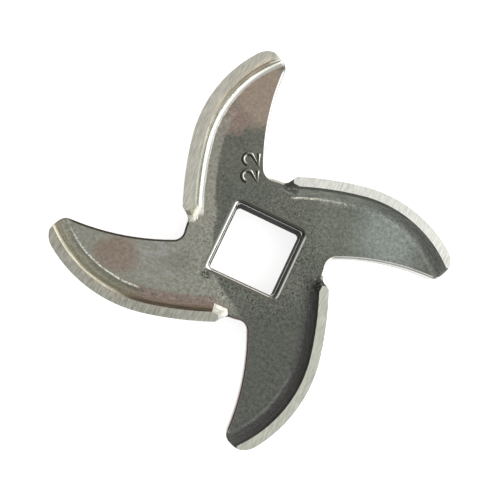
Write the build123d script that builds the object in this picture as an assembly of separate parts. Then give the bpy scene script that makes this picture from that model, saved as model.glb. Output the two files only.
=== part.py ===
from build123d import *
from math import asin, atan2, degrees, hypot, sqrt
import os

# Four-armed knife of a size 22 meat grinder, one solid.
# Frame: the axis of the square drive is Z, its sides lie along X and Y, the boss behind the
# hub stands on z = 0 and the four ground lands, which rub on the hole plate, face +Z.
# It is modelled with the back of the arms at z = 0, and raised by the boss at the end.

# ---- overall ----
arm_count = 4
swing_diameter = 78.0
hub_diameter = 28.8
web_thickness = 5.0
arm_turn = 25.5                # arms against the sides of the square drive

# ---- boss behind the hub, which rests on the feed screw ----
boss_height = 5.0
boss_inset = 1.9               # inside the hub's radius
boss_chamfer = 0.8

# ---- square drive ----
drive_width = 14.0
drive_corner_radius = 0.8
drive_rim_radius = 1.0

# ---- cutting lip ----
lip_height = 2.2               # above the web
land_width = 1.9               # ground flat behind the cutting edge
lip_draft = 30.0               # slope of the wall between land and web
lip_root_radius = 1.2          # hollow between wall and web
lip_heel = 0.7                 # lip runs past the start of the cutting edge
heel_chamfer_along = 1.2       # cut corner at the inner end of the land
heel_chamfer_across = 0.6
rake = 6.0                     # undercut of the leading face

# ---- plan shape of one arm, arm pointing along +Y, leading side towards -X ----
heel_step = 1.9                # the cutting edge begins this far outside the hub
heel_bearing = 60.2            # and at this angle from the arm's own line
heel_slope = 30.0              # end face of the root, against the arm's line
edge_lean_root = 2.2           # direction of the cutting edge at its start
edge_lean_tip = 60.6           # and where it meets the nose
edge_share = 0.59              # tangent length of its flatter root arc to that of its tip arc
nose_radius = 4.2
nose_lean = 4.1                # furthest point of the tip, from the arm's own line
trailing_offset = 1.9          # nearest the hollow trailing edge comes to the arm's line
trailing_height = 16.1
tip_corner_turn = 23.0         # where the trailing edge meets the nose
tip_corner_radius = 1.6
bay_radius = 2.1               # hollow corners where arms meet the hub
heel_corner_radius = 0.6
edge_round = 0.45              # rolled upper edge of the web
back_chamfer = 0.3

total_height = web_thickness + lip_height
hub_radius = hub_diameter / 2
arm_line = 90                  # the modelled arm points along +Y


def polar(centre, radius, angle):
    return centre + Vector(radius, 0).rotate(Axis.Z, angle)


# ---- leading edge: two arcs, tangent to each other and to the nose ----
nose = polar(Vector(), swing_diameter / 2 - nose_radius, arm_line - nose_lean)
edge_first = polar(Vector(), hub_radius + heel_step, arm_line + heel_bearing)
edge_turn_tip = 2 * arm_line - edge_lean_tip
edge_last = polar(nose, nose_radius, edge_turn_tip)
way_in = polar(Vector(), 1, arm_line - edge_lean_root)
way_out = polar(Vector(), 1, edge_turn_tip - arm_line)
chord = edge_last - edge_first
half = chord.dot(way_in * edge_share + way_out)
bend = 2 * edge_share * (1 - way_in.dot(way_out))
tip_tangent = (sqrt(half**2 + bend * chord.dot(chord)) - half) / bend
knee_first = edge_first + way_in * edge_share * tip_tangent
knee_last = edge_last - way_out * tip_tangent
joint = knee_first + (knee_last - knee_first) * edge_share / (1 + edge_share)
root_arc = TangentArc(edge_first, joint, tangent=way_in)
tip_arc = TangentArc(joint, edge_last, tangent=knee_last - knee_first)


def leading_edge(inset, height, end_angle):
    """The leading edge moved in by inset, from a height at its root round to end_angle."""
    root_centre = root_arc.arc_center
    tip_centre = tip_arc.arc_center
    r_root = root_arc.radius - inset
    r_tip = tip_arc.radius - inset
    first = 2 * arm_line - degrees(asin((height - root_centre.Y) / r_root))
    turn = degrees(atan2(joint.Y - tip_centre.Y, joint.X - tip_centre.X))
    points = [polar(root_centre, r_root, a) for a in (first, (first + turn) / 2, turn)]
    bend = [polar(tip_centre, r_tip, a) for a in ((turn + end_angle) / 2, end_angle)]
    return [ThreePointArc(*points), ThreePointArc(points[2], *bend)]


# ---- plan of one arm, then the whole outline ----
edge = [root_arc, tip_arc]
tip = polar(nose, nose_radius, tip_corner_turn)
rise = tip - Vector(trailing_offset, trailing_height)
trailing_radius = rise.dot(rise) / (2 * rise.X)
nose_top = arm_line - nose_lean
nose_tip = polar(nose, nose_radius, nose_top)
cap = ThreePointArc(edge_last, nose_tip, nose + (nose_radius, 0))
heel = polar(edge_first, hub_radius / 2, heel_slope - arm_line)
inside = Polyline(cap @ 1, nose + (nose_radius, -nose_radius), (0, 0), heel, edge_first)
arm = make_face(edge + [cap, inside])
arm -= Pos(trailing_offset + trailing_radius, trailing_height) * Circle(trailing_radius)

ring = [Rot(0, 0, 360 / arm_count * i) for i in range(arm_count)]
outline = (Circle(hub_radius) + [r * arm for r in ring]).face()


def corners(face, distance):
    """The vertices of face at a distance from the axis."""
    return [v for v in face.vertices() if abs(hypot(v.X, v.Y) - distance) < 0.01]


outline = fillet(corners(outline, hub_radius), bay_radius)
outline = fillet(corners(outline, edge_first.length), heel_corner_radius)
outline = fillet(corners(outline, tip.length), tip_corner_radius)

# ---- plan of the ground land: a band behind the edge, open past the tip and the heel ----
land_end = edge_first.Y - lip_heel
past_tip = edge_turn_tip - 45
inner = leading_edge(land_width, land_end + heel_chamfer_along, past_tip)
outer = leading_edge(-hub_radius / 3, land_end, past_tip)
heel_in = Vector((inner[0] @ 0).X - heel_chamfer_across, land_end)
heel_lines = [Line(outer[0] @ 0, heel_in), Line(heel_in, inner[0] @ 0)]
land = make_face(inner + outer + heel_lines + [Line(inner[1] @ 1, outer[1] @ 1)])

# ---- drafted lips on an oversize plate of web thickness, then trimmed to the outline ----
land_plane = Plane.XY.offset(total_height)


def side_faces(solid, path):
    """Upright faces of solid that pass through the middle of a line of path."""
    return [
        f
        for f in solid.faces()
        if abs(f.normal_at().Z) < 0.01 and any(f.distance_to(e @ 0.5) < 0.01 for e in path)
    ]


stock = extrude(Pos(0, 0, web_thickness) * land, lip_height)
foot_lines = [Pos(0, 0, web_thickness) * e for e in inner + heel_lines]
lip = draft(side_faces(stock, foot_lines), land_plane, lip_draft)
raised = Cylinder(swing_diameter, web_thickness, align=(Align.CENTER, Align.CENTER, Align.MIN))
raised += [r * lip for r in ring]
feet = raised.edges().filter_by_position(Axis.Z, web_thickness, web_thickness)
raised = fillet(feet.filter_by(lambda e: e.length < swing_diameter), lip_root_radius)
body = raised & extrude(outline, total_height)
body = chamfer(body.faces().sort_by(Axis.Z)[0].edges(), back_chamfer)

# ---- undercut leading face, run out past the tip and just below the start of the edge ----
over_nose = TangentArc(edge_last, nose_tip, tangent=way_out)
run_in = Line(edge_first - way_in * land_width, edge_first)
run_out = Line(over_nose @ 1, over_nose @ 1 + (over_nose % 1) * hub_radius)
ground = [run_in, root_arc, tip_arc, over_nose, run_out]
clear = Polyline(
    run_out @ 1,
    run_out @ 1 + (0, hub_radius),
    run_in @ 0 + (-hub_radius, swing_diameter / 2),
    run_in @ 0 + (-hub_radius, 0),
    run_in @ 0,
)
cutter = extrude(make_face(ground + [clear]), total_height)
cutter = draft(side_faces(cutter, ground), land_plane, rake)
body -= [r * cutter for r in ring]


def around_drive(height):
    """Edges of the drive hole at a height."""
    level = body.edges().filter_by_position(Axis.Z, height, height)
    return [e for e in level if hypot((e @ 0.5).X, (e @ 0.5).Y) < drive_width * 0.75]


# ---- round boss on the back of the hub ----
boss = Cylinder(hub_radius - boss_inset, web_thickness + boss_height)
boss = Pos(0, 0, (web_thickness - boss_height) / 2) * boss
boss = chamfer(boss.faces().sort_by(Axis.Z)[0].edges(), boss_chamfer)
body += boss

# ---- square drive with a rolled rim ----
drive = RectangleRounded(drive_width, drive_width, drive_corner_radius)
drive = Pos(0, 0, -boss_height) * Rot(0, 0, -arm_turn) * drive
body -= extrude(drive, web_thickness + boss_height)
body = fillet(around_drive(web_thickness), drive_rim_radius)
body = chamfer(around_drive(-boss_height), back_chamfer)

# ---- rolled upper edge of the web ----
outer_line = outline.face().outer_wire()
web_line = [
    e
    for e in body.edges().filter_by_position(Axis.Z, web_thickness, web_thickness)
    if outer_line.distance_to(e @ 0.5 - (0, 0, web_thickness)) < 0.01
]
body = fillet(web_line, edge_round)

os.makedirs("parts", exist_ok=True)
export_step(Pos(0, 0, boss_height) * Rot(0, 0, arm_turn) * body, "parts/knife.step")
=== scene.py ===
"""Meat grinder knife: one steel piece, dressed on its CAD frame.

The scene is in metres.  The materials and the places on an arm are worked out in millimetres.
"""
import math
from types import SimpleNamespace

import bmesh
import bpy
from mathutils import Matrix, Vector

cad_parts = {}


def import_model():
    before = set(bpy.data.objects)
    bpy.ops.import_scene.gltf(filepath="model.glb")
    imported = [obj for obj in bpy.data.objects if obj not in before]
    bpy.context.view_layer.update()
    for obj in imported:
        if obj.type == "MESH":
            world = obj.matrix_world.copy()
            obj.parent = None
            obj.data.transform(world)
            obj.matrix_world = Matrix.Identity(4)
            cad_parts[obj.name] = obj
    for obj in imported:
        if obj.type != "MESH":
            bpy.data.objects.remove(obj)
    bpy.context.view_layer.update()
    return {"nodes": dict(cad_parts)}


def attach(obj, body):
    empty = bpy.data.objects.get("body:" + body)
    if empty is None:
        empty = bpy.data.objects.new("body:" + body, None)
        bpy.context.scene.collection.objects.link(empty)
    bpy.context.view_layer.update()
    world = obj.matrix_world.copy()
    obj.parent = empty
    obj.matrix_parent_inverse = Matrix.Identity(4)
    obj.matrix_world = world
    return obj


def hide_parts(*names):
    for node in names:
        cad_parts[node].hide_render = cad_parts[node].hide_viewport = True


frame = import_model()

MM = 0.001
ARM_TURN = math.radians(25.5)     # the upper arm's line against the frame's +Y
IMAGE_UP = math.radians(115.5)    # the photograph's up, as a direction in the frame
BACK_Z, WEB_Z, LAND_Z = 5.0 * MM, 10.0 * MM, 12.2 * MM
UPPER, LEFT, LOWER, RIGHT = range(4)    # the arms, as the photograph shows them
QUARTER = math.pi / 2


# ---------------------------------------------------------------- node help
def with_alpha(value):
    """A plain colour gets the fourth number that colour sockets take."""
    return (*value, 1.0) if isinstance(value, tuple) else value


class Graph:
    """Short calls for a node tree.

    Apart from node, put and split, which gives all its outputs, each returns an output socket.
    """

    def __init__(self, tree):
        self.tree = tree
        tree.nodes.clear()

    def node(self, kind, **settings):
        inputs = settings.pop("inputs", {})
        node = self.tree.nodes.new(kind)
        for name, value in settings.items():
            setattr(node, name, value)
        for key, value in inputs.items():
            self.put(node.inputs[key], value)
        return node

    def put(self, socket, value):
        if isinstance(value, bpy.types.NodeSocket):
            self.tree.links.new(value, socket)
        else:
            socket.default_value = value

    def math(self, operation, *values):
        node = self.node("ShaderNodeMath", operation=operation)
        for socket, value in zip(node.inputs, values):
            self.put(socket, value)
        return node.outputs[0]

    def plus(self, first, second):
        return self.math("ADD", first, second)

    def minus(self, first, second):
        return self.math("SUBTRACT", first, second)

    def times(self, first, *others):
        product = first
        for other in others:
            product = self.math("MULTIPLY", product, other)
        return product

    def line(self, value, slope, start):
        return self.math("MULTIPLY_ADD", value, slope, start)

    def ramp(self, value, start, end, low=0.0, high=1.0, smooth=True):
        """From low at start to high at end, level outside."""
        interpolation = "SMOOTHSTEP" if smooth else "LINEAR"
        node = self.node("ShaderNodeMapRange", interpolation_type=interpolation)
        for socket, given in zip(node.inputs, (value, start, end, low, high)):
            self.put(socket, given)
        return node.outputs[0]

    def mix(self, share, first, second):
        node = self.node("ShaderNodeMix", data_type="RGBA")
        self.put(node.inputs[0], share)
        self.put(node.inputs[6], with_alpha(first))
        self.put(node.inputs[7], with_alpha(second))
        return node.outputs[2]

    def vector_math(self, operation, first, second):
        """The vector that an operation gives; a dot product gives its value instead."""
        node = self.node("ShaderNodeVectorMath", operation=operation)
        self.put(node.inputs[0], first)
        self.put(node.inputs["Scale"] if operation == "SCALE" else node.inputs[1], second)
        return node.outputs[1 if operation == "DOT_PRODUCT" else 0]

    def scaled(self, vector, factor):
        return self.vector_math("SCALE", vector, factor)

    def split(self, vector):
        return self.node("ShaderNodeSeparateXYZ", inputs={0: vector}).outputs

    def joined(self, x, y, z):
        return self.node("ShaderNodeCombineXYZ", inputs={0: x, 1: y, 2: z}).outputs[0]

    def turned(self, vector, angle):
        inputs = {"Vector": vector, "Angle": angle}
        return self.node("ShaderNodeVectorRotate", rotation_type="Z_AXIS", inputs=inputs).outputs[0]

    def stretched(self, vector, scale, turn):
        """Scaled along axes that lie at an angle round Z."""
        inputs = {"Vector": vector, "Rotation": (0, 0, turn), "Scale": scale}
        return self.node("ShaderNodeMapping", inputs=inputs).outputs[0]

    def noise(self, vector, scale, detail=3.0, rough=0.55, distortion=0.0, seed=None):
        dimensions = "3D" if seed is None else "4D"
        inputs = {"Vector": vector, "Scale": scale, "Detail": detail, "Roughness": rough,
                  "Distortion": distortion}
        if seed is not None:
            inputs["W"] = seed
        return self.node("ShaderNodeTexNoise", noise_dimensions=dimensions, inputs=inputs).outputs[0]

    def spread(self, noise):
        """A noise stretched over the whole of 0 to 1."""
        return self.ramp(noise, 0.3, 0.7)

    def length(self, x, y):
        return self.math("SQRT", self.plus(self.times(x, x), self.times(y, y)))

    def blob(self, x, y, centre, radii, soft):
        """1 at the centre, 0 past the radii; soft is the share of the radii that fades."""
        across = self.math("DIVIDE", self.minus(x, centre[0]), radii[0])
        up = self.math("DIVIDE", self.minus(y, centre[1]), radii[1])
        return self.ramp(self.length(across, up), 1.0, 1.0 - soft)

    def bump(self, height, strength, distance):
        inputs = {"Strength": strength, "Distance": distance * MM, "Height": height}
        return self.node("ShaderNodeBump", inputs=inputs).outputs[0]


def new_material(name):
    """A material, its graph and its shader's inputs, metal until told otherwise."""
    material = bpy.data.materials.new(name)
    material.use_nodes = True
    graph = Graph(material.node_tree)
    shader = graph.node("ShaderNodeBsdfPrincipled")
    graph.node("ShaderNodeOutputMaterial", inputs={"Surface": shader.outputs[0]})
    shader.inputs["Metallic"].default_value = 1.0
    return material, graph, shader.inputs


# ---------------------------------------------------------------- places on the arms
# In its own frame an arm points along +Y and its cutting edge faces -X.  All in mm.
TIP_ARC = ((13.35, 15.5), 26.3)       # the cutting edge's outer arc, centre and radius
ROOT_ARC = ((53.3, 5.5), 67.5)        # and its inner arc
ARC_JOINT = (-12.19, 21.78)           # where they meet
ALONG = (0.2388, 0.9711)              # direction of the edge there
FIRST_ARM_FROM = 68.0                 # degrees, where the upper arm's quarter begins


def inside_arc(graph, x, y, arc):
    centre, radius = arc
    far = graph.length(graph.minus(x, centre[0]), graph.minus(y, centre[1]))
    return graph.minus(radius, far)


def find_place(graph):
    """Where a point of the knife lies, as sockets.

    at: the object coordinates in metres.  frame: x, y and z in mm.  upper: x and y in the upper
    arm's frame.  arm: the number of its arm.  out: how far out it lies along its own arm.
    deep: how far inside the cutting edge.  along: how far along that edge.
    """
    at = graph.node("ShaderNodeTexCoord").outputs["Object"]
    spot = graph.scaled(at, 1 / MM)
    axes = graph.split(spot)
    turn = graph.math("ARCTAN2", axes[1], axes[0])
    turn = graph.minus(turn, math.radians(FIRST_ARM_FROM) + ARM_TURN)
    turn = graph.math("WRAP", turn, 2 * math.pi, 0.0)
    arm = graph.math("FLOOR", graph.math("DIVIDE", turn, QUARTER))
    own = graph.split(graph.turned(spot, graph.line(arm, -QUARTER, -ARM_TURN)))
    x, y = own[0], own[1]
    along = graph.plus(graph.times(graph.minus(x, ARC_JOINT[0]), ALONG[0]),
                       graph.times(graph.minus(y, ARC_JOINT[1]), ALONG[1]))
    past = graph.math("GREATER_THAN", along, 0.0)
    deep = graph.plus(graph.times(past, inside_arc(graph, x, y, TIP_ARC)),
                      graph.times(graph.minus(1.0, past), inside_arc(graph, x, y, ROOT_ARC)))
    upper = graph.split(graph.turned(spot, -ARM_TURN))
    return SimpleNamespace(at=at, frame=axes, upper=upper, arm=arm, out=y, deep=deep, along=along)


def on_arm(graph, place, arm):
    return graph.math("COMPARE", place.arm, float(arm), 0.25)


def paint_arms(graph, place, tone, colours, strength=1.0):
    """Lay a colour over each arm that colours has one for."""
    for arm, colour in colours.items():
        tone = graph.mix(graph.times(on_arm(graph, place, arm), strength), tone, colour)
    return tone


def paint_bands(graph, place, deep, tone, bands, fades, glitter=None):
    """Lay bands that run along the lips, from a table of them: mostly painted highlight and shade."""
    for arm, near, far, soft, start, end, colour, strength, broken in bands:
        here = graph.times(graph.ramp(deep, near - soft, near), graph.ramp(deep, far + soft, far))
        ends = graph.times(graph.ramp(place.out, start, start + fades[0]),
                           graph.ramp(place.out, end, end - fades[1]))
        here = graph.times(here, ends, on_arm(graph, place, arm))
        if broken:
            here = graph.times(here, glitter)
        tone = graph.mix(graph.times(here, strength), tone, colour)
    return tone


# ---------------------------------------------------------------- web
WEB_DARK, WEB_LIGHT = (0.122, 0.130, 0.109), (0.150, 0.156, 0.133)
PALE, SMEARED, STRIP, PITTED = ((0.283, 0.284, 0.240), (0.345, 0.332, 0.318),
                                (0.295, 0.280, 0.240), (0.050, 0.055, 0.042))
WANDER = 6.0                          # how far the borders of the stains stray
PALE_X, PALE_SLOPE = -8.5, 0.62       # where the pale side ends, and how that border slopes
PALE_CORNER = -4.5                    # below this y it slopes
PALE_FOOT = (-17.0, -13.0)            # between these it fades out

# painted reflections and shade, laid into the web's colour: centre and radii in the upper arm's frame,
# colour, strength, softness
REFLECTIONS_AND_SHADE = [
    # upper arm: a brownish painted reflection, redder towards the hollow
    ((2.2, 30.6), (7.8, 8.6), (0.328, 0.268, 0.212), 0.95, 0.40),
    ((-4.6, 25.4), (4.2, 3.4), (0.280, 0.215, 0.180), 0.85, 0.50),
    ((-6.0, 26.8), (3.0, 3.2), (0.290, 0.190, 0.165), 0.70, 0.70),
    # left arm: a brown patch of painted reflection
    ((-26.6, -1.0), (5.6, 4.6), (0.262, 0.212, 0.172), 0.90, 0.40),
    ((-28.0, 0.6), (3.8, 2.8), (0.240, 0.188, 0.148), 0.60, 0.80),
    ((-15.0, -2.4), (4.6, 3.4), (0.170, 0.168, 0.142), 0.45, 0.90),
    # right arm: painted reflection, paler and cooler
    ((26.5, 2.5), (10.5, 11.0), (0.255, 0.288, 0.262), 0.88, 0.75),
    ((15.5, 3.5), (8.0, 9.0), (0.185, 0.198, 0.162), 0.65, 0.80),
    # lower arm: painted shade, darkest
    ((3.5, -25.0), (17.0, 18.0), (0.110, 0.116, 0.100), 0.90, 0.40),
]
SMEAR_SPOT = ((-19.5, -2.5), (6.5, 5.0))
PIT_SPOT = ((-9.9, -4.9), (1.5, 1.3))
COARSE_HUB = ((1.5, -1.5), (17.0, 17.0))
CALM_SPOTS = [((-25.0, -2.0), (14.0, 9.0)), ((2.0, 31.0), (9.0, 9.0))]
CALM = 0.40                           # share of the grain that these spots lack

WEB_FADES = (1.5, 6.0)                # mm over which a band's two ends fade
# painted highlight and shade along the lips, and a reddish painted reflection on the left arm, as bands
# on the web
# arm, from and to inside the edge, softness, from and to along the arm, colour, strength,
# and whether glitter breaks it up
WEB_BANDS = [
    # upper arm: painted highlight lines at the foot of the hollow
    (UPPER, 3.40, 3.90, 0.14, 6.2, 34.0, (0.80, 0.805, 0.74), 1.0, False),
    (UPPER, 3.40, 3.75, 0.20, 24.0, 50.0, (0.50, 0.50, 0.455), 0.90, False),
    # left arm: a reddish painted reflection, a dark olive band and a broken painted glint line at the
    # foot
    (LEFT, 3.0, 4.6, 0.55, 7.0, 28.0, (0.235, 0.172, 0.148), 0.70, False),
    (LEFT, 3.5, 4.35, 0.20, 21.0, 38.0, (0.150, 0.150, 0.112), 0.80, False),
    (LEFT, 4.35, 4.55, 0.14, 22.0, 38.0, (0.78, 0.78, 0.70), 0.95, True),
    # lower arm: painted shade over the hollow and a faint painted highlight at the foot
    (LOWER, 0.0, 3.8, 1.80, 5.0, 40.0, (0.075, 0.073, 0.074), 0.75, False),
    (LOWER, 4.35, 4.55, 0.35, 24.0, 39.0, (0.170, 0.176, 0.160), 0.75, False),
    # right arm: painted shade over the hollow, broken painted glints and highlight lines at the foot
    (RIGHT, 0.0, 3.5, 0.90, 20.0, 46.0, (0.150, 0.157, 0.150), 0.50, False),
    (RIGHT, 3.80, 4.02, 0.20, 6.6, 21.0, (0.76, 0.75, 0.63), 0.95, True),
    (RIGHT, 3.4, 4.4, 0.50, 12.0, 33.0, (0.300, 0.312, 0.280), 0.45, True),
    (RIGHT, 4.35, 4.55, 0.35, 24.0, 38.0, (0.285, 0.290, 0.285), 0.70, True),
]


def pale_side(graph, place, wander, y):
    """Left of the hole the plate is paler, up to a border that bends round its lower corner."""
    below = graph.math("MAXIMUM", graph.minus(PALE_CORNER, place.upper[1]), 0.0)
    border = graph.line(below, PALE_SLOPE, PALE_X)
    border = graph.plus(border, graph.times(graph.ramp(place.upper[1], 3.0, 6.5), 0.75))
    border = graph.plus(graph.minus(border, place.upper[0]), graph.times(wander, 0.28))
    return graph.times(graph.ramp(border, -0.45, 0.45), graph.ramp(y, *PALE_FOOT))


def smear(graph, place, x, y):
    """Oil wiped across the left arm, beside its brown patch."""
    wiped = graph.stretched(place.at, (150, 420, 300), ARM_TURN + 0.5)
    streaks = graph.ramp(graph.noise(wiped, 1.0, detail=3.0, rough=0.5, distortion=1.8), 0.48, 0.60)
    return graph.times(streaks, graph.blob(x, y, *SMEAR_SPOT, 0.5))


def hollow_strip(graph, place, wander):
    """A paler strip along the hollow of the upper arm."""
    deep = graph.plus(place.deep, graph.times(wander, 0.12))
    strip = graph.times(graph.ramp(deep, 6.1, 5.7), graph.ramp(place.out, 31.0, 24.0))
    return graph.times(strip, on_arm(graph, place, UPPER))


def grain(graph, place, patch, fine):
    """Shade of the grain: coarser round the hole, calmer on the two brown patches of painted
    reflection.
    """
    x, y = place.upper[0], place.upper[1]
    shade = graph.line(graph.ramp(patch, 0.30, 0.72, smooth=False), 0.62, 0.69)
    shade = graph.times(shade, graph.line(fine, 0.8, 0.60))
    coarse = graph.minus(graph.noise(place.at, 2600.0, detail=2.0, rough=0.6, seed=3.0), 0.5)
    coarse = graph.times(coarse, graph.blob(x, y, *COARSE_HUB, 0.5))
    shade = graph.plus(shade, graph.times(coarse, 3.2))
    calm = [graph.times(graph.blob(x, y, *spot, 0.6), CALM) for spot in CALM_SPOTS]
    calm = graph.math("MAXIMUM", *calm)
    return graph.plus(graph.times(shade, graph.minus(1.0, calm)), calm)


def pits(graph, place):
    """A small cluster of dark pits."""
    pitted = graph.noise(place.at, 2100.0, detail=2.0, rough=0.5, distortion=1.2)
    spot = graph.blob(place.upper[0], place.upper[1], *PIT_SPOT, 0.6)
    return graph.times(graph.ramp(pitted, 0.56, 0.50), spot)


def web_tone(graph, place, cloud, patch, fine):
    """Colour of the tumbled plate: grainy, mottled and smeared with oil, with painted reflections,
    shade and highlight lines laid over it.
    """
    wander = graph.noise(place.at, 210.0, detail=5.0, rough=0.68)
    wander = graph.times(graph.minus(wander, 0.5), WANDER)
    wander_up = graph.noise(place.at, 240.0, detail=5.0, rough=0.68, seed=7.0)
    wander_up = graph.times(graph.minus(wander_up, 0.5), WANDER)
    x, y = graph.plus(place.upper[0], wander), graph.plus(place.upper[1], wander_up)
    tone = graph.mix(graph.ramp(cloud, 0.35, 0.65), WEB_DARK, WEB_LIGHT)
    tone = graph.mix(graph.times(pale_side(graph, place, wander, y), 0.95), tone, PALE)
    tone = graph.mix(graph.times(smear(graph, place, x, y), 0.75), tone, SMEARED)
    # painted reflections and shade on the arms
    for centre, radii, colour, strength, soft in REFLECTIONS_AND_SHADE:
        here = graph.blob(x, y, centre, radii, soft)
        tone = graph.mix(graph.times(here, strength), tone, colour)
    tone = graph.mix(graph.times(hollow_strip(graph, place, wander), 0.85), tone, STRIP)
    deep = graph.plus(place.deep, graph.times(wander, 0.05))
    glitter = graph.noise(place.at, 2400.0, detail=2.0, rough=0.6)
    glitter = graph.ramp(glitter, 0.40, 0.58, 0.25, 1.0)
    tone = paint_bands(graph, place, deep, tone, WEB_BANDS, WEB_FADES, glitter)
    tone = graph.mix(graph.times(pits(graph, place), 0.85), tone, PITTED)
    return graph.scaled(tone, grain(graph, place, patch, fine))


def web_noises(graph, at):
    """Broad clouds, patches of grain and the finest grain."""
    cloud = graph.noise(at, 90.0, detail=4.0, rough=0.6, distortion=0.4)
    patch = graph.noise(at, 1500.0, detail=3.0, rough=0.6, distortion=0.5)
    fine = graph.noise(at, 4300.0, detail=2.0, rough=0.6)
    return cloud, patch, fine


def web_steel():
    """The flat upper face of the hub and the arms."""
    material, graph, shader = new_material("steel_web")
    place = find_place(graph)
    cloud, patch, fine = web_noises(graph, place.at)
    graph.put(shader["Base Color"], web_tone(graph, place, cloud, patch, fine))
    graph.put(shader["Roughness"], graph.ramp(cloud, 0.3, 0.7, 0.27, 0.36))
    height = graph.plus(graph.times(fine, 0.35), patch)
    graph.put(shader["Normal"], graph.bump(height, 0.5, 0.05))
    return material


# ---------------------------------------------------------------- lips
POLISH_DARK, POLISH_LIGHT = (0.40, 0.40, 0.35), (0.54, 0.54, 0.48)
# colour of the left, lower and right arms' walls, on steel kept nearly matt: brown on the left arm,
# grey-green on the right, and dark painted shade on the lower arm
WALL_TONES = {LEFT: (0.215, 0.180, 0.135), LOWER: (0.120, 0.122, 0.120), RIGHT: (0.285, 0.303, 0.260)}
RIB_AT, RIB_HALF = 2.72, 0.16         # a fine rib left by the die, mm inside the edge
WALL_TO_WEB = (2.6, 3.8)              # where the painted colour of a wall fades into the web
FOOT_FROM = (2.95, 3.25)              # where the painted highlight at the foot of the polished hollow begins
FOOT_HIGHLIGHT = (1.0, 1.0, 0.92)
FOOT_HIGHLIGHT_FADE = (24.0, 38.0, 0.62, 0.40)  # painted highlight: from and to along the arm, and its brightness there
WALL_FADES = (5.0, 5.0)
# bands on the walls, with the same columns as the web's bands
WALL_BANDS = [
    # left arm: a dark brown band under the land, a reddish painted reflection by the foot, an olive
    # band towards the tip and a painted highlight near the land
    (LEFT, 0.0, 2.45, 0.30, -5.0, 27.0, (0.088, 0.068, 0.044), 0.90, False),
    (LEFT, 2.9, 3.5, 0.30, -5.0, 26.0, (0.240, 0.185, 0.155), 0.75, False),
    (LEFT, 2.6, 3.3, 0.40, 21.0, 45.0, (0.170, 0.168, 0.122), 0.80, False),
    (LEFT, 1.70, 2.00, 0.50, 24.0, 45.0, (0.70, 0.69, 0.55), 0.92, False),
    # lower arm: painted shade under the land
    (LOWER, 0.0, 2.1, 0.50, -5.0, 45.0, (0.055, 0.054, 0.051), 0.80, False),
    # right arm: painted shade under the land, and a lighter band towards the tip
    (RIGHT, 0.0, 2.15, 0.35, -5.0, 32.0, (0.085, 0.094, 0.082), 0.90, False),
    (RIGHT, 0.0, 1.90, 0.30, 24.0, 50.0, (0.085, 0.094, 0.082), 0.90, False),
    (RIGHT, 2.3, 2.9, 0.40, 22.0, 45.0, (0.210, 0.220, 0.205), 0.75, False),
]


def lip_streaks(graph, place, across, along, rough):
    """Noise drawn out along the lip."""
    spot = graph.joined(graph.times(place.deep, across), graph.times(place.along, along), place.arm)
    return graph.noise(spot, 1.0, detail=3.0, rough=rough)


def shaded_wall(graph, place, streak):
    """Colour of the left, lower and right arms' walls: painted shade, highlights and brown bands,
    fading into the web.
    """
    web = web_tone(graph, place, *web_noises(graph, place.at))
    fade = graph.plus(place.deep, graph.times(graph.minus(streak, 0.5), 0.8))
    fade = graph.ramp(fade, *WALL_TO_WEB)
    tones = {arm: graph.mix(fade, tone, web) for arm, tone in WALL_TONES.items()}
    tone = paint_arms(graph, place, tones.pop(LEFT), tones)
    tone = paint_bands(graph, place, place.deep, tone, WALL_BANDS, WALL_FADES)
    lines = graph.spread(lip_streaks(graph, place, 4.5, 0.35, 0.65))
    specks = graph.spread(graph.noise(place.at, 2600.0, detail=2.0, rough=0.6))
    return graph.scaled(tone, graph.plus(graph.line(lines, 0.45, 0.62), graph.times(specks, 0.36)))


def wall_steel():
    """The hollow and the wall of the lips: polished on the upper arm, with painted shade, highlights
    and brown bands on the others.
    """
    material, graph, shader = new_material("steel_wall")
    place = find_place(graph)
    cloud = graph.noise(place.at, 260.0, detail=3.0, rough=0.6)
    streak = lip_streaks(graph, place, 2.2, 0.10, 0.6)
    polished = on_arm(graph, place, UPPER)
    tone = graph.mix(graph.spread(cloud), POLISH_DARK, POLISH_LIGHT)
    # painted highlight: the foot of the hollow is brightest near the root
    foot = graph.scaled(FOOT_HIGHLIGHT, graph.ramp(place.out, *FOOT_HIGHLIGHT_FADE))
    tone = graph.mix(graph.ramp(place.deep, *FOOT_FROM), tone, foot)
    tone = graph.mix(polished, shaded_wall(graph, place, streak), tone)
    graph.put(shader["Base Color"], tone)
    # the left, lower and right arms' walls are nearly matt, so that their painted shade and highlights
    # stand in for reflections
    graph.put(shader["Metallic"], graph.line(polished, 0.85, 0.15))
    shader["Specular IOR Level"].default_value = 0.2
    graph.put(shader["Roughness"], graph.line(polished, -0.3, 0.5))
    rib = graph.math("ABSOLUTE", graph.minus(place.deep, RIB_AT))
    rib = graph.times(graph.ramp(rib, RIB_HALF, 0.0), polished)
    height = graph.plus(graph.times(streak, 0.9), graph.times(cloud, 0.5))
    height = graph.plus(graph.times(rib, 1.6), height)
    graph.put(shader["Normal"], graph.bump(height, 0.6, 0.07))
    return material


# painted light and shade of each heel: bright on the upper and left arms, dark on the lower and right
HEEL_LIGHT_AND_SHADE = {UPPER: (0.80, 0.79, 0.68), LEFT: (0.98, 0.97, 0.88), LOWER: (0.075, 0.075, 0.068),
              RIGHT: (0.150, 0.155, 0.140)}
HEEL_BEIGE, HEEL_GLINT = (0.400, 0.395, 0.300), (0.45, 0.44, 0.38)
BEIGE_FROM = (10.7, 11.0)             # heights, mm


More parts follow.
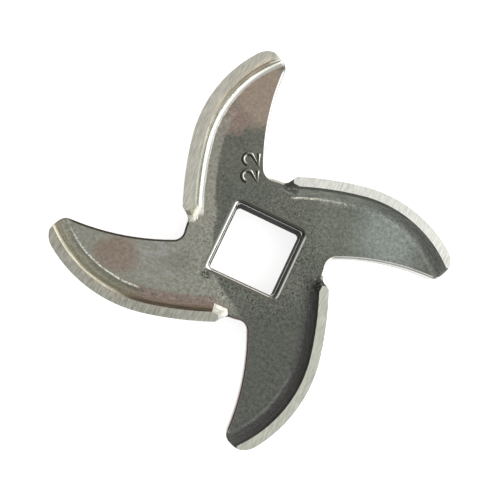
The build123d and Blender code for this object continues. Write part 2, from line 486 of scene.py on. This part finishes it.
def heel_steel():
    """End of the lips by the root: painted highlight makes it pale on the upper and left arms, and
    painted shade darkens two, with painted glints.
    """
    material, graph, shader = new_material("steel_heel")
    place = find_place(graph)
    tones = dict(HEEL_LIGHT_AND_SHADE)
    tone = paint_arms(graph, place, tones.pop(UPPER), tones)
    above = graph.times(graph.ramp(place.frame[2], *BEIGE_FROM), on_arm(graph, place, UPPER))
    tone = graph.mix(above, tone, HEEL_BEIGE)
    shaded = graph.math("MAXIMUM", on_arm(graph, place, LOWER), on_arm(graph, place, RIGHT))
    glint = graph.ramp(graph.noise(place.at, 1500.0, detail=2.0, rough=0.5), 0.56, 0.62)
    tone = graph.mix(graph.times(glint, shaded, 0.8), tone, HEEL_GLINT)
    cloud = graph.spread(graph.noise(place.at, 900.0, detail=3.0, rough=0.6))
    graph.put(shader["Base Color"], graph.scaled(tone, graph.line(cloud, 0.35, 0.70)))
    shader["Metallic"].default_value = 0.3
    shader["Roughness"].default_value = 0.45
    return material


# ---------------------------------------------------------------- ground lands
LAND_TONES = {UPPER: (0.480, 0.470, 0.408), LEFT: (0.372, 0.368, 0.318), LOWER: (0.490, 0.500, 0.430),
              RIGHT: (0.655, 0.66, 0.61)}
# heat tints near the tips: arm, how far inside the edge they start, colour
LAND_TINTS = [(UPPER, 1.5, (0.600, 0.530, 0.430)), (LEFT, 1.0, (0.400, 0.350, 0.280))]
GRINDING = math.degrees(IMAGE_UP) - 22     # degrees, the way the main lines run
CROSSING = math.degrees(IMAGE_UP) + 38     # and the fainter ones
TINT_OUT = (18.0, 27.0)                    # how far out the tints set in, mm
MEAN_SHADE = 1.03


def land_steel():
    """Ground flat: pale, with fine straight grinding lines crossing it."""
    material, graph, shader = new_material("steel_land")
    place = find_place(graph)
    first = graph.stretched(place.at, (3400, 420, 400), math.radians(-GRINDING))
    first = graph.noise(first, 1.0, detail=3.0, rough=0.65)
    second = graph.stretched(place.at, (4200, 480, 400), math.radians(-CROSSING))
    second = graph.noise(second, 1.0, detail=2.0, rough=0.6)
    soft = graph.noise(place.at, 300.0, detail=3.0)
    tones = dict(LAND_TONES)
    tone = paint_arms(graph, place, tones.pop(UPPER), tones)
    for arm, start, colour in LAND_TINTS:
        tint = graph.times(graph.ramp(place.deep, start, start + 0.5), graph.ramp(place.out, *TINT_OUT))
        tint = graph.times(tint, graph.ramp(soft, 0.25, 0.65), on_arm(graph, place, arm))
        tone = graph.mix(graph.times(tint, 0.8), tone, colour)
    shade = graph.line(graph.spread(first), 0.34, 0.80)
    shade = graph.plus(shade, graph.times(graph.ramp(second, 0.35, 0.7), 0.16))
    shade = graph.plus(shade, graph.line(soft, 0.16, -0.10))
    # the left arm's land is the most deeply scored, the right arm's the least
    score = graph.line(on_arm(graph, place, LEFT), 0.6, 1.0)
    score = graph.math("MULTIPLY_ADD", on_arm(graph, place, RIGHT), -0.15, score)
    shade = graph.line(graph.minus(shade, MEAN_SHADE), score, MEAN_SHADE)
    graph.put(shader["Base Color"], graph.scaled(tone, shade))
    shader["Roughness"].default_value = 0.38
    graph.put(shader["Normal"], graph.bump(graph.plus(first, second), 0.12, 0.05))
    return material


# ---------------------------------------------------------------- edges, rim, digits and bore
def clouded(graph, at, scale, detail, dark, light):
    """A noise and a colour that drifts with it between two tones."""
    cloud = graph.noise(at, scale, detail=detail, rough=0.6)
    return cloud, graph.mix(graph.spread(cloud), dark, light)


EDGE_DARK, EDGE_LIGHT = (0.62, 0.61, 0.57), (0.78, 0.77, 0.73)
SIDE_DARK, SIDE_LIGHT = (0.26, 0.26, 0.24), (0.36, 0.36, 0.33)
# painted shade on the rolled edges of the left and lower arms: arm, strength, colour
EDGE_SHADES = [(LEFT, 0.93, (0.045, 0.034, 0.030)), (LOWER, 0.88, (0.13, 0.085, 0.078))]
# a thin line of painted shade where the bright edges turn down
EDGE_TURN_SHADE = (0.20, 0.20, 0.18)
TURN_SHADE_TOP, TURN_SHADE_FOOT = (9.90, 9.84), (9.3, 9.4)    # heights between which it lies, mm
ROLL_HEIGHT, ROLL_DEPTH = (8.3, 9.1), (0.5, 1.2)        # where the rolled edge's tone sets in
TIP_OUT = (34.8, 36.2)                                  # and the tips' painted light and shade, out along the arm
# painted shade on the upper arm's tip, painted highlight on the lower and left arms' tips
TIP_LIGHT_AND_SHADE = {UPPER: (0.10, 0.10, 0.085), LOWER: (0.55, 0.55, 0.50), LEFT: (0.42, 0.42, 0.38)}


def edge_steel():
    """Outer sides, and the rolled upper edges, which differ from arm to arm by painted shade and
    highlight.
    """
    material, graph, shader = new_material("steel_edge")
    place = find_place(graph)
    height = place.frame[2]
    cloud, tone = clouded(graph, place.at, 300.0, 4.0, EDGE_DARK, EDGE_LIGHT)
    # painted shade on the left and lower arms' edges
    for arm, strength, colour in EDGE_SHADES:
        tone = paint_arms(graph, place, tone, {arm: colour}, strength)
    # a thin grey line of painted shade where the bright edges turn down
    bright = graph.math("MAXIMUM", on_arm(graph, place, UPPER), on_arm(graph, place, RIGHT))
    outline = graph.times(graph.ramp(height, *TURN_SHADE_TOP), graph.ramp(height, *TURN_SHADE_FOOT), bright)
    tone = graph.mix(graph.times(outline, 0.85), tone, EDGE_TURN_SHADE)
    # painted shade and highlight at the tips
    tone = paint_arms(graph, place, tone, TIP_LIGHT_AND_SHADE, graph.ramp(place.out, *TIP_OUT))
    # below the rolled edge and on the leading face the steel is plain
    plain = graph.mix(graph.spread(cloud), SIDE_DARK, SIDE_LIGHT)
    rolled = graph.times(graph.ramp(height, *ROLL_HEIGHT), graph.ramp(place.deep, *ROLL_DEPTH))
    graph.put(shader["Base Color"], graph.mix(rolled, plain, tone))
    shader["Roughness"].default_value = 0.25
    graph.put(shader["Normal"], graph.bump(cloud, 0.3, 0.06))
    return material


# painted shade on two of the rim's sides, and one painted highlight line on them
RIM_DARK, RIM_LIGHT, RIM_SHADE = (0.66, 0.65, 0.61), (0.80, 0.79, 0.75), (0.13, 0.13, 0.115)
RIM_WEB, RIM_HIGHLIGHT = (0.150, 0.152, 0.130), (0.58, 0.58, 0.54)
# distances from the knife's axis along the frame's x and y, mm
RIM_SHADE_FROM, RIM_WEB_FROM = (6.6, 7.2), (7.35, 7.60)
HIGHLIGHT_X, HIGHLIGHT_Y = (7.50, 7.66), (7.0, 5.8)


def rim_steel():
    """Rolled rim of the square hole: bright on two sides; painted shade darkens the other two, with one
    painted highlight line on them.
    """
    material, graph, shader = new_material("steel_rim")
    place = find_place(graph)
    x, y = place.frame[0], place.frame[1]
    cloud, tone = clouded(graph, place.at, 300.0, 4.0, RIM_DARK, RIM_LIGHT)
    shaded = graph.math("MAXIMUM", graph.ramp(x, *RIM_SHADE_FROM), graph.ramp(y, *RIM_SHADE_FROM))
    tone = graph.mix(shaded, tone, RIM_SHADE)
    outer = graph.math("MAXIMUM", graph.times(x, -1.0), graph.times(y, -1.0))
    tone = graph.mix(graph.ramp(outer, *RIM_WEB_FROM), tone, RIM_WEB)
    bright = graph.times(graph.ramp(x, *HIGHLIGHT_X), graph.ramp(y, *HIGHLIGHT_Y))
    graph.put(shader["Base Color"], graph.mix(bright, tone, RIM_HIGHLIGHT))
    shader["Roughness"].default_value = 0.22
    graph.put(shader["Normal"], graph.bump(cloud, 0.3, 0.05))
    return material


DIGIT_DARK, DIGIT_LIGHT, DIGIT_SHADE = (0.42, 0.42, 0.38), (0.72, 0.72, 0.66), (0.075, 0.076, 0.066)
DIGIT_LIGHT_FROM = IMAGE_UP - 1.2     # direction of the bright flanks, radians


def digit_steel():
    """Flanks of the raised digits: bright on one side, darkened by painted shade on the other."""
    material, graph, shader = new_material("steel_digit")
    coordinates = graph.node("ShaderNodeTexCoord").outputs
    _, tone = clouded(graph, coordinates["Object"], 900.0, 3.0, DIGIT_DARK, DIGIT_LIGHT)
    side = (math.cos(DIGIT_LIGHT_FROM), math.sin(DIGIT_LIGHT_FROM), 0.0)
    lit = graph.vector_math("DOT_PRODUCT", coordinates["Normal"], side)
    # painted shade on the flanks that face away from the light
    graph.put(shader["Base Color"], graph.mix(graph.ramp(lit, 0.35, -0.1), tone, DIGIT_SHADE))
    shader["Roughness"].default_value = 0.24
    return material


BORE_DARK, BORE_LIGHT = (0.024, 0.022, 0.019), (0.060, 0.056, 0.050)


def bore_steel():
    """Walls of the square hole, the back and the boss: matt and dark, partly the steel's own tone and
    partly painted shade in the hole.
    """
    material, graph, shader = new_material("steel_bore")
    at = graph.node("ShaderNodeTexCoord").outputs["Object"]
    cloud, tone = clouded(graph, at, 300.0, 4.0, BORE_DARK, BORE_LIGHT)
    graph.put(shader["Base Color"], tone)
    shader["Metallic"].default_value = 0.1
    shader["Specular IOR Level"].default_value = 0.05
    shader["Roughness"].default_value = 0.65
    graph.put(shader["Normal"], graph.bump(cloud, 0.4, 0.08))
    return material


# ---------------------------------------------------------------- finding faces
# boxes in an arm's own frame: from and to in x, from and to in y, mm
DIGITS_BOX = ((-3.4, 1.6), (12.0, 20.0))
HEEL_BOX = ((-14.5, -8.0), (0.0, 8.2))
LAND_BOX = ((-16.5, 8.0), (8.0, 40.0))
LAND_BORDER = (1.6, 2.2)              # the land's inner border lies between these inside the edge, mm
SIDE_DROP = 1.0 * MM                  # a face that reaches this far below the web is a side
SIDE_DEPTH = 1.5                      # and so is one that stays this near the edge, mm
TIP_FROM = 30.0                       # how far out along its arm a tip begins, mm


def turn_to_arm(vector, arm):
    """A vector of the frame, as an arm's own frame has it."""
    return Matrix.Rotation(-ARM_TURN - arm * QUARTER, 3, "Z") @ Vector(vector)


def to_arm(spot, arm):
    """x and y in mm of a point in an arm's own frame."""
    own = turn_to_arm(spot, arm)
    return own.x / MM, own.y / MM


def within(spot, box):
    return all(low < value < high for value, (low, high) in zip(spot, box))


def arm_of(spot):
    turn = math.degrees(math.atan2(spot[1], spot[0]) - ARM_TURN) - FIRST_ARM_FROM
    return int(turn % 360 // 90)


def edge_arc(x, y):
    """The arc of the cutting edge that a point of an arm lies beside."""
    along = (x - ARC_JOINT[0]) * ALONG[0] + (y - ARC_JOINT[1]) * ALONG[1]
    return TIP_ARC if along > 0 else ROOT_ARC


def inside_edge(spot):
    """Distance in mm inside the cutting edge of the arm that the point lies on."""
    x, y = to_arm(spot, arm_of(spot))
    centre, radius = edge_arc(x, y)
    return radius - math.hypot(x - centre[0], y - centre[1])


def near_digits(spot):
    return within(to_arm(spot, UPPER), DIGITS_BOX)


def on_side(mesh, face):
    """Whether an upright face belongs to the outline, not to the wall behind the land."""
    corners = [mesh.vertices[corner].co for corner in face.vertices]
    if min(corner.z for corner in corners) < WEB_Z - SIDE_DROP:
        return True
    if max(inside_edge(corner) for corner in corners) < SIDE_DEPTH:
        return True
    arm = arm_of(face.center)
    at_tip = to_arm(face.center, arm)[1] > TIP_FROM
    faces_out = turn_to_arm(face.normal, arm).y > 0.3
    return abs(face.normal.z) < 0.05 and at_tip and faces_out


def at_heel(face):
    """Whether a face is part of a lip's end by the root."""
    for arm in (UPPER, LEFT, LOWER, RIGHT):
        if within(to_arm(face.center, arm), HEEL_BOX):
            return turn_to_arm(face.normal, arm).y < -0.1
    return False


# z of a face's normal: more than these for a level face, a digit's top and a nearly level
# face, and less than the last for an upright one
LEVEL, DIGIT_TOP, NEAR_LEVEL, UPRIGHT = 0.999, 0.93, 0.9, 0.3
SLACK = 0.01 * MM                     # how far from its level a corner may be
DIGIT_SLACK = 0.001 * MM
RIM_REACH, BORE_REACH = 12.5 * MM, 11.5 * MM    # rim and bore faces lie this near the axis
BORE_DROP = 0.9 * MM                  # and those of the bore at least this far below the web
BACK_RISE = 0.4 * MM                  # a face that stays this near the back looks like it
HOLLOW_END = (3.3, 4.6)               # where the hollow runs out into the web, mm inside the edge


def finish_of(mesh, face):
    """The finish that a face takes."""
    heights = [mesh.vertices[corner].co.z for corner in face.vertices]
    lowest, highest = min(heights), max(heights)
    reach = math.hypot(face.center.x, face.center.y)
    up = face.normal.z
    digits = near_digits(face.center)
    upright = abs(up) < UPRIGHT and reach > BORE_REACH and lowest > BACK_Z - SLACK
    if up > LEVEL and lowest > LAND_Z - SLACK:
        return "land"
    if upright and not digits and on_side(mesh, face):
        return "edge"
    if up > LEVEL and highest < WEB_Z + SLACK:
        return "web"
    if highest < BACK_Z + BACK_RISE or (reach < BORE_REACH and highest < WEB_Z - BORE_DROP):
        return "bore"
    if reach < RIM_REACH and highest < WEB_Z + SLACK:
        return "rim"
    if digits and lowest > WEB_Z - DIGIT_SLACK:
        return "web" if up > DIGIT_TOP else "digit"
    if highest < WEB_Z + SLACK:
        at_end = HOLLOW_END[0] < inside_edge(face.center) < HOLLOW_END[1]
        return "web" if up > NEAR_LEVEL and at_end else "edge"
    return "heel" if at_heel(face) else "wall"


# ---------------------------------------------------------------- the knife
FINISHES = {"web": web_steel, "wall": wall_steel, "land": land_steel, "edge": edge_steel,
            "bore": bore_steel, "rim": rim_steel, "digit": digit_steel, "heel": heel_steel}
DIGIT_CENTRES = [(-1.1, 14.45), (-0.85, 17.8)]    # in the upper arm's frame, mm
DIGIT_LEAN = math.radians(-2.7)
DIGIT_BOWL, DIGIT_BOWL_UP = 1.08, 0.48            # radius and height of the bowl, mm
DIGIT_TURNS = range(170, -41, -15)                # degrees round the bowl
DIGIT_FOOT = [(-1.12, -1.5), (1.15, -1.5)]
STROKE, STROKE_SUNK = 0.44 * MM, 0.09 * MM        # radius of the stroke, its line's depth in the web
WIDER_LAND = 0.5 * MM                             # the upper arm's land against the others
SHARP = math.radians(38)                          # a sharper edge than this isn't smoothed
SAME_SPOT = 0.0001 * MM                           # corners this near are one


def add_object(name, data):
    obj = bpy.data.objects.new(name, data)
    bpy.context.scene.collection.objects.link(obj)
    return obj


def digit_stroke(centre):
    """A raised 2, read with the arm's tip to its right: one round-backed stroke."""
    turns = [math.radians(degrees) for degrees in DIGIT_TURNS]
    bowl = [(DIGIT_BOWL * math.cos(t), DIGIT_BOWL_UP + DIGIT_BOWL * math.sin(t)) for t in turns]
    path = bowl + DIGIT_FOOT
    curve = bpy.data.curves.new("digit", "CURVE")
    curve.dimensions = "3D"
    curve.bevel_depth = STROKE
    curve.bevel_resolution = 5
    curve.use_fill_caps = True
    line = curve.splines.new("POLY")
    line.points.add(len(path) - 1)
    for point, (across, up) in zip(line.points, path):
        spot = Vector((-up, across, 0))
        spot.rotate(Matrix.Rotation(DIGIT_LEAN, 3, "Z"))
        spot = Matrix.Rotation(ARM_TURN, 3, "Z") @ (spot + Vector((*centre, 0)))
        point.co = (spot.x * MM, spot.y * MM, WEB_Z - STROKE_SUNK, 1)
    return add_object("digit", curve)


def as_mesh(obj):
    graph = bpy.context.evaluated_depsgraph_get()
    return bpy.data.meshes.new_from_object(obj.evaluated_get(graph))


def cad_mesh():
    """A copy of the CAD mesh, with its corners joined."""
    mesh = frame["nodes"]["knife"].data.copy()
    mesh.name = "knife_dressed"
    if "custom_normal" in mesh.attributes:
        mesh.attributes.remove(mesh.attributes["custom_normal"])
    shape = bmesh.new()
    shape.from_mesh(mesh)
    bmesh.ops.remove_doubles(shape, verts=shape.verts, dist=SAME_SPOT)
    shape.to_mesh(mesh)
    shape.free()
    mesh.materials.clear()
    return mesh


def raise_digits(obj):
    """Join the trade size to the web."""
    for centre in DIGIT_CENTRES:
        stroke = digit_stroke(centre)
        solid = add_object("digit_solid", as_mesh(stroke))
        join = obj.modifiers.new("digit", "BOOLEAN")
        join.operation, join.solver, join.object = "UNION", "EXACT", solid
        obj.data = as_mesh(obj)
        obj.modifiers.clear()
        bpy.data.objects.remove(solid)
        bpy.data.objects.remove(stroke)


def widen_land(mesh):
    """Move the inner border of the upper arm's land further in."""
    for vertex in mesh.vertices:
        x, y = to_arm(vertex.co, UPPER)
        if vertex.co.z < LAND_Z - SLACK or not within((x, y), LAND_BOX):
            continue
        centre, radius = edge_arc(x, y)
        out = Vector((x - centre[0], y - centre[1], 0))
        if LAND_BORDER[0] < radius - out.length < LAND_BORDER[1]:
            step = -out.normalized() * WIDER_LAND
            vertex.co += Matrix.Rotation(ARM_TURN, 3, "Z") @ step


def mark_sharp(mesh):
    shape = bmesh.new()
    shape.from_mesh(mesh)
    for edge in shape.edges:
        edge.smooth = not (len(edge.link_faces) == 2 and edge.calc_face_angle(0) > SHARP)
    shape.to_mesh(mesh)
    shape.free()


def knife_piece():
    obj = add_object("knife_dressed", cad_mesh())
    raise_digits(obj)
    mesh = obj.data
    mesh.materials.clear()
    for make_steel in FINISHES.values():
        mesh.materials.append(make_steel())
    widen_land(mesh)
    slots = list(FINISHES)
    for face in mesh.polygons:
        face.material_index = slots.index(finish_of(mesh, face))
        face.use_smooth = True
    mark_sharp(mesh)
    normals = obj.modifiers.new("normals", "WEIGHTED_NORMAL")
    normals.keep_sharp = True
    normals.weight = 100
    return obj


knife = knife_piece()
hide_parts("knife")
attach(knife, "root")


# ---------------------------------------------------------------- floor
FLOOR_HALF, FLOOR_GAP = 2.0, 0.02 * MM
FLOOR_GREY, FLOOR_GLOW = 0.86, 0.75


def floor_piece():
    """A pale floor that looks white to the camera and in the steel, and keeps the shadow."""
    shape = bmesh.new()
    bmesh.ops.create_grid(shape, x_segments=2, y_segments=2, size=FLOOR_HALF)
    mesh = bpy.data.meshes.new("floor")
    shape.to_mesh(mesh)
    shape.free()
    obj = add_object("floor", mesh)
    obj.location.z = -FLOOR_GAP
    material = bpy.data.materials.new("floor_white")
    material.use_nodes = True
    graph = Graph(material.node_tree)
    ray = graph.node("ShaderNodeLightPath").outputs
    seen = graph.math("MAXIMUM", ray["Is Camera Ray"], ray["Is Glossy Ray"])
    seen = graph.math("MAXIMUM", seen, ray["Is Transmission Ray"])
    diffuse = graph.node("ShaderNodeBsdfDiffuse", inputs={"Color": with_alpha((FLOOR_GREY,) * 3)})
    strength = graph.times(seen, FLOOR_GLOW)
    glow = graph.node("ShaderNodeEmission", inputs={"Color": (1, 1, 1, 1), "Strength": strength})
    both = graph.node("ShaderNodeAddShader", inputs={0: diffuse.outputs[0], 1: glow.outputs[0]})
    graph.node("ShaderNodeOutputMaterial", inputs={"Surface": both.outputs[0]})
    mesh.materials.append(material)


floor_piece()


# ---------------------------------------------------------------- world
SKY_LOW, SKY_HIGH = 0.14, 1.0         # brightness of the walls and the ceiling
WINDOW, NEAR_WALL = 2.2, 0.30
FAR_WALL = (0.36, 0.31, 0.25)
# how steeply up, or how far to one side, a direction has to point to meet each of them
CEILING_FROM, BELOW_CEILING = (0.75, 0.97), (0.95, 0.8)
WINDOW_FROM, WINDOW_SILL = (0.30, 0.62), (-0.15, 0.1)
NEAR_FROM, FAR_FROM = (-0.25, -0.6), (0.25, 0.6)


def world():
    """A pale ceiling, a bright window to the right, darker walls, one of them warm.

    The camera sees plain white instead.
    """
    studio = bpy.data.worlds.new("studio")
    bpy.context.scene.world = studio
    studio.use_nodes = True
    graph = Graph(studio.node_tree)
    way = graph.node("ShaderNodeTexCoord").outputs["Generated"]
    photo_up = (math.cos(IMAGE_UP), math.sin(IMAGE_UP), 0.0)
    photo_right = (photo_up[1], -photo_up[0], 0.0)
    height = graph.split(way)[2]
    right = graph.vector_math("DOT_PRODUCT", way, photo_right)
    up = graph.vector_math("DOT_PRODUCT", way, photo_up)
    below_ceiling = graph.ramp(height, *BELOW_CEILING)
    level = graph.ramp(height, *CEILING_FROM, SKY_LOW, SKY_HIGH)
    window = graph.times(graph.ramp(right, *WINDOW_FROM), graph.ramp(height, *WINDOW_SILL))
    level = graph.plus(level, graph.times(window, WINDOW))
    near = graph.times(graph.ramp(up, *NEAR_FROM), below_ceiling)
    level = graph.plus(level, graph.times(near, NEAR_WALL))
    far = graph.times(graph.ramp(up, *FAR_FROM), below_ceiling)
    colour = graph.scaled((1.0, 1.0, 1.0), level)
    colour = graph.vector_math("ADD", colour, graph.scaled(FAR_WALL, far))
    room = graph.node("ShaderNodeBackground", inputs={"Color": colour})
    white = graph.node("ShaderNodeBackground", inputs={"Color": (1, 1, 1, 1)})
    seen = graph.node("ShaderNodeLightPath").outputs["Is Camera Ray"]
    inputs = {0: seen, 1: room.outputs[0], 2: white.outputs[0]}
    mixed = graph.node("ShaderNodeMixShader", inputs=inputs)
    graph.node("ShaderNodeOutputWorld", inputs={"Surface": mixed.outputs[0]})


world()


# ---------------------------------------------------------------- camera
CAM_AT = (-6.97, -9.14, 165.0)        # mm, in the upper arm's frame
CAM_TARGET = (15.885, -3.683, 5.0)
CAM_ROLL = -0.0095                    # radians
IMAGE_SIZE = 500                      # pixels
CAM_PIXELS = 783.8                    # focal length in pixels
CAM_SHIFT = (82.4, 18.3)              # pixels, right and down
SENSOR = 36.0                         # mm
CLIP = (0.005, 20.0)                  # metres


def arm_frame(x, y, z):
    """A point given in mm in the upper arm's frame."""
    return Matrix.Rotation(ARM_TURN, 3, "Z") @ Vector((x, y, z)) * MM


def camera():
    at, target = arm_frame(*CAM_AT), arm_frame(*CAM_TARGET)
    up = arm_frame(-math.sin(CAM_ROLL), math.cos(CAM_ROLL), 0.0).normalized()
    back = (at - target).normalized()
    right = up.cross(back).normalized()
    axes = Matrix((right, back.cross(right), back)).transposed()
    view = bpy.data.cameras.new("view")
    view.sensor_width = SENSOR
    view.lens = CAM_PIXELS / IMAGE_SIZE * SENSOR
    view.shift_x = -CAM_SHIFT[0] / IMAGE_SIZE
    view.shift_y = CAM_SHIFT[1] / IMAGE_SIZE
    view.clip_start, view.clip_end = CLIP
    obj = add_object("view", view)
    obj.matrix_world = Matrix.Translation(at) @ axes.to_4x4()
    bpy.context.scene.camera = obj


camera()
bpy.context.scene.view_settings.view_transform = "Standard"
